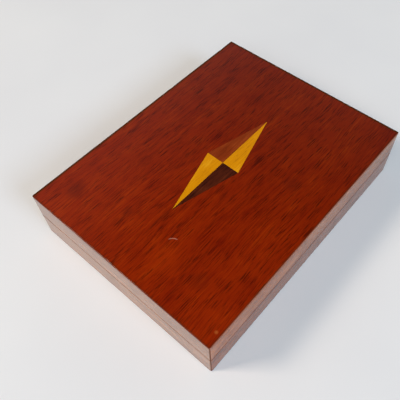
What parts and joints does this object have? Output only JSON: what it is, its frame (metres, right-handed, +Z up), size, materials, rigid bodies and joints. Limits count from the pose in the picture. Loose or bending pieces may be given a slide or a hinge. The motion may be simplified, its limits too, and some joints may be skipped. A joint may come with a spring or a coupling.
{
  "type": "puzzle box",
  "caption": "Flat wooden puzzle box: a lift-off lid with a marquetry lozenge over a lined base, held shut by a hidden spin lock of sliding pins.",
  "frame": {"origin": "centre of the underside, on the surface that the box stands on", "axes": "+X along the length and the grain of the top, +Z up, -Y the front"},
  "size_m": [0.118, 0.09, 0.025],
  "materials": {
    "polished_mahogany": "clear gloss polish",
    "mahogany_veneer": "clear gloss polish",
    "birch_plywood": "sanded, unfinished",
    "cedar_liner": "sanded, waxed",
    "satinwood": "clear gloss polish",
    "wenge": "clear gloss polish",
    "brown_oak": "clear gloss polish",
    "green_felt": "napped",
    "turned_brass": "turned, unlacquered",
    "bright_steel": "turned, bright"
  },
  "bodies": {
    "base": {"base_veneer": "mahogany_veneer", "base_panel": "birch_plywood", "base_side_front": "polished_mahogany", "base_side_back": "polished_mahogany", "base_side_left": "polished_mahogany", "base_side_right": "polished_mahogany", "lip_front": "cedar_liner", "lip_back": "cedar_liner", "lip_left": "cedar_liner", "lip_right": "cedar_liner", "felt_lining": "green_felt", "strike_left": "turned_brass", "strike_right": "turned_brass"},
    "lid": {"lid_side_front": "polished_mahogany", "lid_side_back": "polished_mahogany", "lid_side_left": "polished_mahogany", "lid_side_right": "polished_mahogany", "lid_panel": "birch_plywood", "lid_veneer": "mahogany_veneer", "inlay_back_left": "satinwood", "inlay_front_left": "wenge", "inlay_back_right": "brown_oak", "inlay_front_right": "satinwood", "pin_bush_left": "turned_brass", "pin_bush_right": "turned_brass"},
    "pin_left": {"lock_pin_left": "bright_steel"},
    "pin_right": {"lock_pin_right": "bright_steel"}
  },
  "joints": [
    {"name": "lid_lift", "type": "slide", "parent": "base", "child": "lid", "axis": [0, 0, 1], "range_m": [0, 0.04]},
    {"name": "pin_left_slide", "type": "slide", "parent": "lid", "child": "pin_left", "axis": [1, 0, 0], "range_m": [0, 0.0024]},
    {"name": "pin_right_slide", "type": "slide", "parent": "lid", "child": "pin_right", "axis": [-1, 0, 0], "range_m": [0, 0.0024]}
  ]
}
